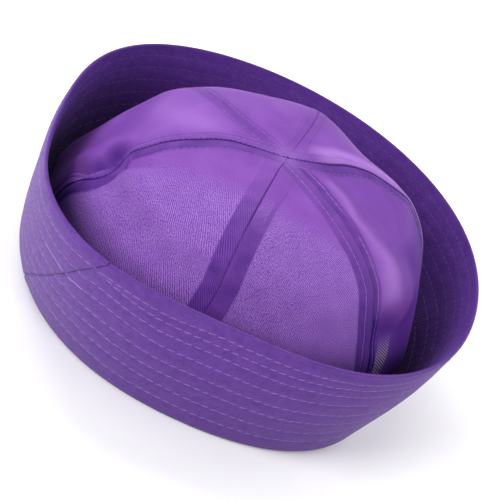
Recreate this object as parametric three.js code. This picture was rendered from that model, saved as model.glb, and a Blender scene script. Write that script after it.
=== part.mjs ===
// A sailor hat in cotton twill: a soft crown of six panels, and a stiff two-ply brim turned up all round it.
// Lengths are millimetres and +Z is up. The hat stands on the fold of its brim, with its crown up.
// Directions are degrees anticlockwise seen from above, about the crown's axis: 0 is right, 90 back, 270 front.
import * as THREE from "three";

// Cloth and the gaps between the pieces
const BAND_WALL = 1.2; // each ply of the brim, cloth and stiffener together
const PANEL_WALL = 1.2; // a crown panel
const CLEARANCE = 0.3; // between pieces that are sewn together

// The brim
const BRIM_BULGE = 1.9; // how far the wall bows out halfway up
const BRIM_STEPS = 72; // directions round the ring
const BRIM_LEVELS = 6; // heights on each face of a ply

// The crown
const CROWN_HEIGHT = 98;
const CROWN_TOP_SHIFT = { x: 1.6, y: -2.7 }; // the top leans a little off the axis
const TOP_FULLNESS = 3; // the squareness that all the sections come to where they meet at the top
const TOP_BLEND = 8; // how late they come to it: a higher power keeps them apart nearer to the top
const TIP_RADIUS = 0.9; // where the panels' tips stop short of the top
const PANEL_COLUMNS = 8;
const PANEL_ROWS = 11;
const HOLLOW_MIDDLE = 45; // height of the point that dents are pushed towards

const COLOURS = { crown: 0x8c5cc4, brim: 0x663d9c, lining: 0x4a2a86 };

// The brim's wall in twelve directions: the radius of its fold on the ground, and the radius and height of its rim.
const BRIM_SECTIONS = [
  { direction: 0, fold: 95.5, rim: 117, height: 66 },
  { direction: 30, fold: 94, rim: 123.5, height: 63.5 },
  { direction: 60, fold: 98, rim: 133.5, height: 60.5 },
  { direction: 90, fold: 97, rim: 133, height: 60.5 },
  { direction: 120, fold: 96, rim: 124.5, height: 64 },
  { direction: 150, fold: 100, rim: 114.5, height: 68.5 },
  { direction: 180, fold: 98.5, rim: 105.5, height: 69.5 },
  { direction: 210, fold: 95, rim: 111, height: 68 },
  { direction: 240, fold: 94, rim: 116, height: 67.5 },
  { direction: 270, fold: 92, rim: 105.5, height: 68.5 },
  { direction: 300, fold: 95, rim: 110, height: 69 },
  { direction: 330, fold: 100, rim: 118, height: 68 },
];

// The crown's seams, each with its direction at the top and at the hem, and the panel that follows it anticlockwise.
// Fullness is how square the shoulder is (2 is an ellipse), and swell how far the wall bows out below it.
const CROWN_SEAMS = [
  { panel: "crown_panel_back_right", top: 37, hem: 18, fullness: 3.7, swell: 3.5, panelFullness: 3.05, panelSwell: 0.6 },
  { panel: "crown_panel_back_left", top: 88, hem: 88, fullness: 3.6, swell: 0.7, panelFullness: 3.0, panelSwell: -0.2 },
  { panel: "crown_panel_left", top: 149, hem: 147, fullness: 2.9, swell: -2, panelFullness: 2.3, panelSwell: -2 },
  { panel: "crown_panel_front_left", top: 208, hem: 200, fullness: 2.9, swell: 1, panelFullness: 2.7, panelSwell: -0.6 },
  { panel: "crown_panel_front_right", top: 268, hem: 280, fullness: 3.2, swell: 0, panelFullness: 2.75, panelSwell: 0.2 },
  { panel: "crown_panel_right", top: 329, hem: 334, fullness: 3.1, swell: 1.1, panelFullness: 3.6, panelSwell: 3.5 },
];

// Where the soft crown is pushed in: the middle of each dent, its depth, and its reach all round.
const CROWN_DENTS = [
  { direction: 205, radius: 78, height: 70, depth: 6, reach: 15 }, // the dip in the front left seam
  { direction: 186, radius: 66, height: 82, depth: 3, reach: 20 }, // the slack panel beside it
  { direction: 62, radius: 60, height: 86, depth: 2.5, reach: 22 }, // between the back and the right seam
  { direction: 118, radius: 55, height: 88, depth: 2, reach: 22 }, // between the back and the left seam
];

const radians = (degrees) => (degrees * Math.PI) / 180;

// A smooth closed curve through one column of the evenly spaced brim sections. Each section's share is a wave
// that is 1 in its own direction and 0 in every other section's.
function roundTheBrim(column, direction) {
  const count = BRIM_SECTIONS.length;
  return BRIM_SECTIONS.reduce((sum, section) => {
    const half = radians(direction - section.direction) / 2;
    const share =
      Math.abs(Math.sin(half)) < 1e-9 ? 1 : (Math.sin(count * half) * Math.cos(half)) / (count * Math.sin(half));
    return sum + section[column] * share;
  }, 0);
}

// A point of the brim in one direction: share is the way from fold to rim, and depth is measured in from the
// outer face, square to the wall.
function brimPoint(direction, share, depth) {
  const fold = roundTheBrim("fold", direction);
  const rim = roundTheBrim("rim", direction);
  const height = roundTheBrim("height", direction);
  const lean = Math.hypot(rim - fold, height) / height;
  const radius = fold + (rim - fold) * share + 4 * BRIM_BULGE * share * (1 - share) - depth * lean;
  return { radius, z: height * share };
}

const evenly = (count, from, to) =>
  Array.from({ length: count }, (_, i) => from + ((to - from) * i) / (count - 1));

// A closed ring from one closed profile in each direction, its corners in the order that makes the faces look out.
// Each four-cornered cell is cut the same way on faces that run up and down, so that two plies stay parallel.
function ringGeometry(profileAt) {
  const directions = Array.from({ length: BRIM_STEPS }, (_, i) => (360 * i) / BRIM_STEPS);
  const profiles = directions.map(profileAt);
  const points = profiles.flatMap((profile, i) =>
    profile.map(({ radius, z }) => [
      radius * Math.cos(radians(directions[i])),
      radius * Math.sin(radians(directions[i])),
      z,
    ]),
  );
  const corners = profiles[0].length;
  const faces = [];
  for (let i = 0; i < BRIM_STEPS; i++)
    for (let j = 0; j < corners; j++) {
      const after = (j + 1) % corners;
      const a = i * corners + j;
      const b = ((i + 1) % BRIM_STEPS) * corners + j;
      const c = b - j + after;
      const d = a - j + after;
      const runsUp = profiles[i][after].z >= profiles[i][j].z;
      faces.push(...(runsUp ? [a, b, c, a, c, d] : [a, b, d, b, c, d]));
    }
  return indexedGeometry(points, faces);
}

function indexedGeometry(points, faces) {
  const geometry = new THREE.BufferGeometry();
  geometry.setAttribute("position", new THREE.Float32BufferAttribute(points.flat(), 3));
  geometry.setIndex(faces);
  geometry.computeVertexNormals();
  return geometry;
}

// The outer ply: up the outside, over the rim, down behind, and turned under the inner ply and the crown's hem.
function outerBand(direction) {
  const turnedUnder = 2 * BAND_WALL + 2 * CLEARANCE + PANEL_WALL;
  const turnTop = BAND_WALL / roundTheBrim("height", direction);
  return [
    ...evenly(BRIM_LEVELS, 0, 1).map((share) => brimPoint(direction, share, 0)),
    ...evenly(BRIM_LEVELS, 1, turnTop).map((share) => brimPoint(direction, share, BAND_WALL)),
    { radius: brimPoint(direction, 0, turnedUnder).radius, z: BAND_WALL },
    { radius: brimPoint(direction, 0, turnedUnder).radius, z: 0 },
  ];
}

// The inner ply: a plain band that stands on the turned edge of the outer one.
function innerBand(direction) {
  const front = BAND_WALL + CLEARANCE;
  const bottom = (BAND_WALL + CLEARANCE) / roundTheBrim("height", direction);
  return [
    ...evenly(BRIM_LEVELS, bottom, 1).map((share) => brimPoint(direction, share, front)),
    ...evenly(BRIM_LEVELS, 1, bottom).map((share) => brimPoint(direction, share, front + BAND_WALL)),
  ];
}

// The crown's sections in order round it: each seam, and the middle of each panel.
const crownSections = CROWN_SEAMS.flatMap((seam, i) => {
  const next = CROWN_SEAMS[(i + 1) % CROWN_SEAMS.length];
  const span = (next.top - seam.top + 360) % 360;
  return [
    { direction: seam.top, fullness: seam.fullness, swell: seam.swell },
    { direction: (seam.top + span / 2) % 360, fullness: seam.panelFullness, swell: seam.panelSwell },
  ];
});

// One column of the crown's sections in any direction, easing from each section to the next.
function roundTheCrown(column, direction) {
  for (let i = 0; i < crownSections.length; i++) {
    const here = crownSections[i];
    const next = crownSections[(i + 1) % crownSections.length];
    const span = (next.direction - here.direction + 360) % 360;
    const way = (((direction - here.direction) % 360) + 360) % 360;
    if (way > span) continue;
    const eased = (1 - Math.cos((Math.PI * way) / span)) / 2;
    return here[column] + (next[column] - here[column]) * eased;
  }
}

const seamDirection = (seam, rise) => seam.top + (seam.hem - seam.top) * (1 - Math.sin(rise));

// How far the cloth is pushed in at a point: the sum of the dents' bell curves.
function dentDepth(point) {
  return CROWN_DENTS.reduce((sum, dent) => {
    const angle = radians(dent.direction);
    const middle = new THREE.Vector3(dent.radius * Math.cos(angle), dent.radius * Math.sin(angle), dent.height);
    return sum + dent.depth * Math.exp(-((middle.distanceTo(point) / dent.reach) ** 2));
  }, 0);
}

// The crown's shape in one direction before its dents: the radius and height at a rise, which runs from 0 at the
// hem to a quarter turn at the top.
function crownProfile(direction, rise) {
  const sectionFullness = roundTheCrown("fullness", direction);
  const fullness = sectionFullness + (TOP_FULLNESS - sectionFullness) * Math.sin(rise) ** TOP_BLEND;
  const swell = roundTheCrown("swell", direction) * Math.sin(2 * rise);
  const hemBottom = BAND_WALL + CLEARANCE;
  const hemRadius = brimPoint(direction, 0, 2 * BAND_WALL + 2 * CLEARANCE).radius;
  return {
    radius: (hemRadius + swell) * Math.cos(rise) ** (2 / fullness),
    z: hemBottom + (CROWN_HEIGHT - hemBottom) * Math.sin(rise) ** (2 / fullness),
  };
}

// A point of the crown's outer face.
function crownPoint(direction, rise) {
  const { radius, z } = crownProfile(direction, rise);
  const lean = Math.sin(rise) ** 2;
  const point = new THREE.Vector3(
    CROWN_TOP_SHIFT.x * lean + radius * Math.cos(radians(direction)),
    CROWN_TOP_SHIFT.y * lean + radius * Math.sin(radians(direction)),
    z,
  );
  const inward = new THREE.Vector3(0, 0, HOLLOW_MIDDLE).sub(point).normalize();
  return point.addScaledVector(inward, dentDepth(point));
}

// The same point on the inner face: a wall's thickness in, square to the cloth.
function crownInside(direction, rise) {
  const sideStep = 1; // degrees to each side, for the slope round the crown
  const riseStep = 0.01; // radians up and down, for the slope from hem to top
  const point = crownPoint(direction, rise);
  const round = crownPoint(direction + sideStep, rise).sub(crownPoint(direction - sideStep, rise));
  const below = crownPoint(direction, Math.max(rise - riseStep, 0));
  const up = crownPoint(direction, Math.min(rise + riseStep, Math.PI / 2)).sub(below);
  const outward = round.cross(up).normalize();
  if (rise === 0) outward.setZ(0).normalize();
  return point.addScaledVector(outward, -PANEL_WALL);
}

// One panel between two seams, as an outer and an inner sheet joined along their edges.
function panelGeometry(seam, nextSeam) {
  const tipRise = Math.acos((TIP_RADIUS / BRIM_SECTIONS[0].fold) ** (TOP_FULLNESS / 2));
  const sheets = [crownPoint, crownInside].map((place) =>
    evenly(PANEL_ROWS, 0, tipRise).flatMap((rise) => {
      const from = seamDirection(seam, rise);
      const span = (seamDirection(nextSeam, rise) - from + 360) % 360;
      const setBack = (CLEARANCE / 2 / crownProfile(from, rise).radius) * (180 / Math.PI);
      return evenly(PANEL_COLUMNS + 1, from + setBack, from + span - setBack).map((direction) =>
        place(direction, rise).toArray(),
      );
    }),
  );
  const across = PANEL_COLUMNS + 1;
  const size = across * PANEL_ROWS;
  const faces = [];
  const quad = (a, b, c, d) => faces.push(a, b, c, a, c, d);
  for (let row = 0; row < PANEL_ROWS - 1; row++)
    for (let column = 0; column < PANEL_COLUMNS; column++) {
      const a = row * across + column;
      quad(a, a + 1, a + 1 + across, a + across);
      quad(size + a, size + a + across, size + a + 1 + across, size + a + 1);
    }
  for (let column = 0; column < PANEL_COLUMNS; column++) {
    const tip = (PANEL_ROWS - 1) * across + column;
    quad(column + 1, column, size + column, size + column + 1);
    quad(tip, tip + 1, size + tip + 1, size + tip);
  }
  for (let row = 0; row < PANEL_ROWS - 1; row++) {
    const near = row * across;
    const far = near + PANEL_COLUMNS;
    quad(near, near + across, size + near + across, size + near);
    quad(far + across, far, size + far, size + far + across);
  }
  return indexedGeometry(sheets.flat(), faces);
}

function clothMesh(name, geometry, color, roughness) {
  const mesh = new THREE.Mesh(geometry, new THREE.MeshStandardMaterial({ color, roughness, metalness: 0 }));
  mesh.name = name;
  return mesh;
}

function brim() {
  const group = new THREE.Group();
  group.add(clothMesh("brim_outer_band", ringGeometry(outerBand), COLOURS.brim, 0.85));
  group.add(clothMesh("brim_inner_band", ringGeometry(innerBand), COLOURS.lining, 0.85));
  return group;
}

function crown() {
  const group = new THREE.Group();
  CROWN_SEAMS.forEach((seam, i) => {
    const nextSeam = CROWN_SEAMS[(i + 1) % CROWN_SEAMS.length];
    group.add(clothMesh(seam.panel, panelGeometry(seam, nextSeam), COLOURS.crown, 0.9));
  });
  return group;
}

// The whole hat, moved so that the middle of its outline from above is at the origin.
function sailorHat() {
  const hat = new THREE.Group();
  hat.add(brim(), crown());
  const outline = new THREE.Box3().setFromObject(hat).getCenter(new THREE.Vector3());
  hat.position.set(-outline.x, -outline.y, 0);
  const part = new THREE.Group();
  part.add(hat);
  return part;
}

export default sailorHat();
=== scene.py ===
# %% [markdown]
# # A sailor hat in purple cotton twill
# The hat is all cloth: a soft crown of six panels that meet at the top, and a stiff brim of two plies,
# turned up all round and held flat by rows of topstitching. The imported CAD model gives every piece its
# place and size, and this lesson replaces each plain CAD piece with a finely shaped one.

import bpy
import numpy as np
from mathutils import Matrix, Vector
from mathutils.bvhtree import BVHTree


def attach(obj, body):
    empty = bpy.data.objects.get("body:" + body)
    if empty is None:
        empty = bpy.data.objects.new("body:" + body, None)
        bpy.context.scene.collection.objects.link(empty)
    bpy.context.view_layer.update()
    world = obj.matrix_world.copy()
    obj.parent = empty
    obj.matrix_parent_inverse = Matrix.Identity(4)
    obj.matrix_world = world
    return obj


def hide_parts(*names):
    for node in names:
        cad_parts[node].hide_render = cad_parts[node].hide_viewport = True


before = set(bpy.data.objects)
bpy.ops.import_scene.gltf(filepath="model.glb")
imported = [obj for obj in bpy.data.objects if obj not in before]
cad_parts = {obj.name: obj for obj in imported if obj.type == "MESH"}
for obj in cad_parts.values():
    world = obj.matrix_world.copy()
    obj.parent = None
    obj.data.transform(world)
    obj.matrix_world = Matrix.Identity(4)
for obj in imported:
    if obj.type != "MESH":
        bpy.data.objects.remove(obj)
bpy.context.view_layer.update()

# %% [markdown]
# ## Lengths and directions
# Shapes are worked out in millimetres about the crown's axis, and turned to metres once, when a mesh is
# made. Directions are degrees anticlockwise seen from above: 0 is right, 90 back, 180 left and 270 front.

# %% The crown's axis
MM = 0.001
AXIS = np.array([-5.528, -13.146, 0.0])


def polar(direction, radius, z):
    """Points at a direction in degrees, a radius from the crown's axis and a height: x = r cos, y = r
    sin."""
    angle = np.radians(direction)
    parts = np.broadcast_arrays(radius * np.cos(angle), radius * np.sin(angle), z)
    return np.stack(parts, axis=-1)


print("front of the fold, mm:", polar(270.0, 92.0, 0.0) + AXIS)

# %% [markdown]
# ## The camera
# The photo looks down at the hat from the front with a long lens, and the picture is tilted. The camera
# comes first, so that every later step can be compared with the photo.

# %% Camera
ELEVATION = 33.71
ROLL = 29.79
DISTANCE = 1088.6  # mm, and so are all lengths up to make_piece
FOCAL_PIXELS = 2253.4
FRAME_PIXELS = 500
SENSOR = 36.0
SHIFT_PIXELS = (19.69, 1.38)  # from the middle of the picture
AIM = np.array([0.0, 0.0, 35.0])

elevation = np.radians(ELEVATION)
roll = np.radians(ROLL)
back = np.array([0.0, -np.cos(elevation), np.sin(elevation)])
right = np.array([1.0, 0.0, 0.0])
up = np.cross(back, right)
image_right = np.cos(roll) * right + np.sin(roll) * up
image_up = -np.sin(roll) * right + np.cos(roll) * up

camera_data = bpy.data.cameras.new("camera")
camera_data.sensor_width = SENSOR
camera_data.lens = SENSOR * FOCAL_PIXELS / FRAME_PIXELS
camera_data.shift_x = SHIFT_PIXELS[0] / FRAME_PIXELS
camera_data.shift_y = SHIFT_PIXELS[1] / FRAME_PIXELS
camera_data.clip_start = 0.05
camera_data.clip_end = 20.0
camera = bpy.data.objects.new("camera", camera_data)
bpy.context.scene.collection.objects.link(camera)
turn = np.eye(4)
turn[:3, :3] = np.stack([image_right, image_up, back], axis=1)
turn[:3, 3] = (AXIS + AIM + DISTANCE * back) * MM
camera.matrix_world = Matrix(turn.tolist())
bpy.context.scene.camera = camera
print("lens, mm:", round(camera_data.lens, 1))

# %% [markdown]
# ## From grids of points to meshes
# Every piece of cloth is a grid of points. One function turns it into a mesh and keeps the numbers that
# each point knows about the cloth, such as how far it is from a seam. Blender's own primitives could be
# bent to shape instead, but their points would know nothing of the cloth.

# %% Mesh helpers


def grid_faces(rows, columns, close_rows=False, close_columns=False):
    """Four-cornered faces of a grid of points numbered row by row, closed into a ring either way or not."""
    r = np.arange(rows if close_rows else rows - 1)
    c = np.arange(columns if close_columns else columns - 1)
    r, c = np.meshgrid(r, c, indexing="ij")
    next_r = (r + 1) % rows
    next_c = (c + 1) % columns
    corners = [r * columns + c, r * columns + next_c, next_r * columns + next_c, next_r * columns + c]
    return np.stack(corners, axis=-1).reshape(-1, 4)


def make_piece(name, points, faces, attributes=(), uv=None):
    """A mesh object from points in mm about the axis, with attributes of one number for each point."""
    mesh = bpy.data.meshes.new(name)
    mesh.from_pydata(((points + AXIS) * MM).tolist(), [], [list(f) for f in faces])
    mesh.shade_smooth()
    for key, values in dict(attributes).items():
        layer = mesh.attributes.new(key, "FLOAT", "POINT")
        layer.data.foreach_set("value", np.asarray(values, dtype=np.float32).ravel())
    if uv is not None:
        corner = np.empty(len(mesh.loops), dtype=np.int32)
        mesh.loops.foreach_get("vertex_index", corner)
        layer = mesh.uv_layers.new(name="cloth_mm")
        layer.data.foreach_set("uv", np.asarray(uv, dtype=np.float32)[corner].ravel())
    mesh.validate()
    piece = bpy.data.objects.new(name, mesh)
    bpy.context.scene.collection.objects.link(piece)
    print(name, "has", len(mesh.vertices), "points and", len(mesh.polygons), "faces")
    return piece


def bell(distance, reach):
    """A smooth bump: 1 at no distance, and e^-1 at its reach."""
    return np.exp(-((distance / reach) ** 2))


def ramp(value, low, high):
    """0 below low, 1 above high, and a smooth S between them."""
    way = np.clip((value - low) / (high - low), 0.0, 1.0)
    return way * way * (3 - 2 * way)


def smoothed(where, places, values, half, reach, period=None):
    """Values between the places of a table: straight between them, then averaged over whole steps to both
    sides with a bell's weights, so that a line has no corners."""
    offsets = np.arange(-half, half + 1)
    weights = bell(offsets, reach)
    around = np.asarray(where)[..., None] + offsets
    return (np.interp(around, places, values, period=period) * weights).sum(-1) / weights.sum()


def step_lengths(line):
    """How far along a line of points each lies: the sum of the steps before it."""
    return np.append(0, np.cumsum(np.linalg.norm(np.diff(line, axis=0), axis=1)))


print("faces of a grid of 3 by 4 points:", len(grid_faces(3, 4)))

# %% [markdown]
# ## The shape of the brim
# The brim is a wide strip of two plies, seamed into a ring and turned up. Its wall leans out, more at the
# back than at the front. Twelve measured sections give the radius of the fold it stands on and the radius
# and height of its rim, and a sum of waves carries them smoothly round. A sculpted ring would do, but with
# a formula the two plies keep their distance everywhere.

# %% The brim's wall
BRIM_SECTIONS = np.array([
    # direction, fold radius, rim radius, rim height
    [0, 95.5, 118.6, 66],
    [30, 94, 124.8, 63.7],
    [60, 98, 134.2, 61],
    [90, 97, 133.8, 61],
    [120, 96, 125.2, 64.5],
    [150, 100, 114.5, 68.7],
    [180, 98.5, 105.0, 69.5],
    [210, 95, 110.5, 68],
    [240, 95.6, 116, 67.5],
    [270, 93.2, 105.5, 68.5],
    [300, 96, 110, 69],
    [330, 100, 118.5, 68],
])
BRIM_BULGE = 1.9
PLY = 1.2
CLEARANCE = 0.3
BRIM_SLANT = 70.0  # the width of the brim's strip
RING_RADIUS = 100.0  # the brim's middling radius


def round_the_brim(direction):
    """Fold radius, rim radius and rim height in any direction. Each section weighs in with the wave sin(12
    h) cos(h) / (12 sin h) of half the angle to it, h: 1 at its own direction and 0 at the others."""
    half = np.radians(np.asarray(direction)[..., None] - BRIM_SECTIONS[:, 0]) / 2
    count = len(BRIM_SECTIONS)
    near = np.abs(np.sin(half)) < 1e-9
    safe = np.where(near, 1.0, np.sin(half))
    share = np.where(near, 1.0, np.sin(count * half) * np.cos(half) / (count * safe))
    return np.moveaxis(share @ BRIM_SECTIONS[:, 1:], -1, 0)


def brim_wall(direction, share, depth):
    """Radius and height of a point: share is the way up from fold to rim, and depth is measured in from the
    outer face. The wall bows out by a parabola in share."""
    fold, rim, height = round_the_brim(direction)
    lean = np.hypot(rim - fold, height) / height
    radius = fold + (rim - fold) * share + 4 * BRIM_BULGE * share * (1 - share) - depth * lean
    return radius, height * share


print("rim radius and height at the front, mm:", brim_wall(np.array([270.0]), 1.0, 0.0))

# %% [markdown]
# ## The rows of topstitching
# Eight rows run round the brim about 8 mm apart. They were guided by hand, so they wander, and at the left
# the top two run into each other. The rows could be drawn by a texture, but the brim's dips and its threads
# both need to know where they run, so they are a table.

# %% Where the rows run
ROW_TABLE = np.array([
    # direction, then the share of the brim's width at each row, from the fold up
    [20, 0.28, 0.43, 0.54, 0.63, 0.715, 0.795, 0.865, 0.935],
    [60, 0.24, 0.38, 0.49, 0.59, 0.685, 0.77, 0.85, 0.93],
    [100, 0.20, 0.33, 0.45, 0.55, 0.64, 0.735, 0.83, 0.92],
    [150, 0.18, 0.31, 0.42, 0.52, 0.62, 0.72, 0.82, 0.915],
    [180, 0.16, 0.28, 0.39, 0.50, 0.62, 0.73, 0.81, 0.90],
    [205, 0.15, 0.27, 0.38, 0.49, 0.625, 0.74, 0.82, 0.885],
    [217, 0.16, 0.29, 0.40, 0.51, 0.64, 0.75, 0.855, 0.87],
    [230, 0.17, 0.30, 0.41, 0.525, 0.645, 0.75, 0.86, 0.86],
    [240, 0.175, 0.30, 0.41, 0.52, 0.635, 0.755, 0.885, 0.885],
    [248, 0.165, 0.295, 0.41, 0.525, 0.66, 0.775, 0.88, 0.90],
    [256, 0.145, 0.28, 0.395, 0.505, 0.64, 0.745, 0.828, 0.887],
    [265, 0.14, 0.262, 0.377, 0.482, 0.607, 0.72, 0.81, 0.87],
    [280, 0.145, 0.262, 0.39, 0.495, 0.625, 0.74, 0.82, 0.90],
    [300, 0.15, 0.265, 0.392, 0.503, 0.628, 0.74, 0.82, 0.893],
    [320, 0.18, 0.295, 0.425, 0.543, 0.67, 0.77, 0.845, 0.905],
    [350, 0.23, 0.36, 0.48, 0.58, 0.675, 0.77, 0.85, 0.925],
])
ROWS = ROW_TABLE.shape[1] - 1
MERGED = 0.02  # rows closer than this share have run into one


def row_shares(direction):
    """The rows' shares in any direction."""
    shares = [smoothed(direction, ROW_TABLE[:, 0], row, 6, 3.0, period=360) for row in ROW_TABLE.T[1:]]
    return np.stack(shares, axis=-1)


print("rows at the front:", row_shares(np.array([270.0])).round(3))

# %% [markdown]
# ## The relief of the quilted brim
# Each row pulls the plies together, so the face dips there and puffs a little between the rows. A slanting
# seam, at 45 degrees to the rim, closes the strip into a ring at the left. A bump map could fake all this,
# but real relief also shows at the brim's outline and in low light.

# %% Brim relief
PINCH = 0.4  # at the rim
ROW_DIP = 0.09
ROW_REACH = 1.2
PUFF = 0.03  # between rows
SHORT_WAVES = (0.05, 5, 14)  # height, shortest and longest
LONG_WAVES = (0.2, 30, 90)
WAVE_COUNT = 24
SEAM_CUT = 0.55
SEAM_CUT_REACH = 0.38
SEAM_SIDES = ((0.15, -2.0), (0.3, 2.2))  # height and middle of the raised cloth on each side
OUTER_SEED = 3
INNER_SEED = 8
SLANTING_SEAM = (  # shares of the width, directions
    [0.0, 0.2, 0.32, 0.46, 0.63, 0.76, 0.88, 1.0],
    [213.5, 221.5, 227.0, 232.0, 237.5, 241.0, 244.5, 248.0],
)


def waves(direction, share, seed, height, shortest, longest):
    """Soft random ripples: a sum of sine waves that run in many ways across the brim, divided by the square
    root of their number, times a height."""
    rng = np.random.default_rng(seed)
    length = np.exp(rng.uniform(np.log(shortest), np.log(longest), WAVE_COUNT))
    heading = rng.uniform(0, np.pi, WAVE_COUNT)
    phase = rng.uniform(0, 2 * np.pi, WAVE_COUNT)
    turns = np.maximum(1, np.round(2 * np.pi * RING_RADIUS * np.cos(heading) / length))
    total = 0.0
    for i in range(WAVE_COUNT):
        along = np.radians(direction) * turns[i] * np.sign(np.cos(heading[i]))
        across = 2 * np.pi * share * BRIM_SLANT * np.sin(heading[i]) / length[i]
        total = total + np.sin(along + across + phase[i])
    return height * (total / np.sqrt(WAVE_COUNT))


def slanting_seam_distance(direction, share, radius):
    """Distance in mm to the slanting seam, positive on its anticlockwise side."""
    seam = np.interp(share, *SLANTING_SEAM)
    away = (direction - seam + 180) % 360 - 180
    return np.radians(away) * radius * np.cos(np.radians(45))


def brim_relief(direction, share, radius, seam_depth, seed):
    """How far the brim's face stands out from its plain wall: dips at the rows, puffs between them,
    ripples, a pinch at the rim, and the groove of the slanting seam with raised cloth beside it."""
    shares = row_shares(direction[..., 0])[..., None, :]
    row = np.abs(share[..., None] - shares).min(-1) * BRIM_SLANT
    relief = -ROW_DIP * bell(row, ROW_REACH) + PUFF * ramp(row, 0.0, 3.5)
    relief = relief + waves(direction, share, seed, *SHORT_WAVES) * (0.6 + bell(row, 2.5))
    relief = relief + waves(direction, share, seed + 1, *LONG_WAVES)
    relief = relief * ramp(share, 0.0, 0.06) * ramp(-share, -1.0, -0.96) - PINCH * ramp(share, 0.9, 0.985)
    seam = slanting_seam_distance(direction, share, radius)
    raised = sum(height * bell(seam - middle, 2.0) for height, middle in SEAM_SIDES)
    return relief + seam_depth * (raised - SEAM_CUT * bell(seam, SEAM_CUT_REACH))


print("the slanting seam runs over degrees:", SLANTING_SEAM[1][0], "to", SLANTING_SEAM[1][-1])

# %% [markdown]
# ## Cross-sections
# Each ply is a loop of lines in cross-section, carried round the hat: a face that stands out from the wall
# by its relief, and half of a rounded rim. A closed loop gives a real wall, where a single sheet would look
# like paper at the rim.

# %% Cross-sections of the plies
FACE_ROWS = 80
RIM_ROWS = 7
RIM_MIDDLE = PLY + CLEARANCE / 2
RIM_ROUND = 0.95
RIM_START = 1 - 1.3 / BRIM_SLANT  # the share of the width where the rim's roll starts
FOLD_ROUND = 1.6
FACE_START = FOLD_ROUND / 65  # the share where the fold's round ends, on a wall about 65 mm high
INNER_DEPTH = 2 * PLY + CLEARANCE  # of the inner ply's face, measured from the outer ply's
FAR = 20.0  # a distance to the slanting seam that is too far to show


def directions_round(columns, dense_from, dense_to, dense_share):
    """Directions for the columns of a ring, closer together over one arc."""
    dense = int(columns * dense_share)
    arc = np.linspace(dense_from, dense_to, dense, endpoint=False)
    rest = np.linspace(dense_to, dense_from + 360, columns - dense, endpoint=False)
    return np.concatenate([arc, rest])


def wall_frame(direction, share, depth):
    """Radius and height on the wall, with its outward normal and its upward tangent in that section."""
    radius, z = brim_wall(direction, share, depth)
    step = 0.002
    radius_up, z_up = brim_wall(direction, share + step, depth)
    radius_down, z_down = brim_wall(direction, share - step, depth)
    along = np.hypot(radius_up - radius_down, z_up - z_down)
    tangent = ((radius_up - radius_down) / along, (z_up - z_down) / along)
    normal = (tangent[1], -tangent[0])
    return radius, z, normal, tangent


def off_wall(direction, share, depth, out, over=0.0):
    """Radius and height of points that stand out from the wall, and are moved over it towards the rim."""
    radius, z, normal, tangent = wall_frame(direction, share, depth)
    return radius + out * normal[0] + over * tangent[0], z + out * normal[1] + over * tangent[1]


def rim_roll(direction, start, end):
    """Points over the rounded rim, between two angles: 0 is the outer face, 90 the top and 180 the inner
    face."""
    angle = np.radians(np.linspace(start, end, RIM_ROWS))[None, :]
    out = RIM_ROUND * np.cos(angle)
    return off_wall(direction, np.ones_like(direction), RIM_MIDDLE, out, RIM_ROUND * (np.sin(angle) - 1))


def ring_piece(name, sections, direction, numbers, uv_across):
    """A closed ring from the lines round a ply's cross-section, each an array of radii and one of heights
    with a row for each direction. Numbers for the material are one value or array for each line."""
    sections = [np.broadcast_arrays(line[0], line[1] + 0 * direction) for line in sections]
    radius, z = (np.concatenate(parts, axis=1) for parts in zip(*sections))
    steps = np.hypot(np.diff(radius, axis=1), np.diff(z, axis=1))
    up_the_cloth = np.concatenate([np.zeros((len(radius), 1)), np.cumsum(steps, axis=1)], axis=1)
    around = np.radians(direction) * RING_RADIUS + 0 * radius
    uv = np.stack([around * uv_across, up_the_cloth], axis=-1).reshape(-1, 2)
    attributes = {}
    for key, values in numbers.items():
        filled = [value + 0 * line[0] for value, line in zip(values, sections)]
        attributes[key] = np.concatenate(filled, axis=1)
    faces = grid_faces(*radius.shape, close_rows=True, close_columns=True)
    return make_piece(name, polar(direction, radius, z).reshape(-1, 3), faces, attributes, uv)


print("share of the width where the rim's roll starts:", round(RIM_START, 3))

# %% [markdown]
# ## The outer ply
# It is one closed cross-section carried round the hat: up the outside, half way over the rim, down behind,
# and turned under at the fold that the hat stands on. Its columns crowd together at the slanting seam.

# %% Outer ply
FOOT_INWARD = np.array([PLY, 2.0, 3.0, 4.2, 4.2, 2.6])[None, :]  # the turned-under edge, from the top down
FOOT_HEIGHT = np.array([2.2, 1.25, 1.2, 1.1, 0.15, 0.0])[None, :]
OUTER_COLUMNS = 790

ring = directions_round(OUTER_COLUMNS, dense_from=208.0, dense_to=252.0, dense_share=0.26)[:, None]
face_share = np.linspace(FACE_START, RIM_START, FACE_ROWS)[None, :]
ring_grid, share_grid = np.broadcast_arrays(ring, face_share)
plain_radius, _ = brim_wall(ring_grid, share_grid, 0.0)
outer_relief = brim_relief(ring_grid, share_grid, plain_radius, 1.0, OUTER_SEED)
outer_face = off_wall(ring_grid, share_grid, 0.0, outer_relief)
outer_rim = rim_roll(ring, 12, 88)
behind = brim_wall(ring, np.linspace(0.96, 0.06, 7)[None, :], PLY)
foot = (brim_wall(ring, 0.0, FOOT_INWARD)[0], FOOT_HEIGHT)
fold_angle = np.radians(np.linspace(-88, -12, 6))[None, :]
fold_radius = brim_wall(ring, 0.0, FOLD_ROUND)[0]
fold = (fold_radius + FOLD_ROUND * np.cos(fold_angle), FOLD_ROUND + FOLD_ROUND * np.sin(fold_angle))
seam_mm = np.abs(slanting_seam_distance(ring_grid, share_grid, plain_radius))
numbers = {"seam_mm": [seam_mm, seam_mm[:, -1:], FAR, FAR, FAR], "share": [1.0] * 5}
brim_outer = ring_piece("brim_outer_ply", [outer_face, outer_rim, behind, foot, fold], ring, numbers, 1.0)
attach(brim_outer, "root")
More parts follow.
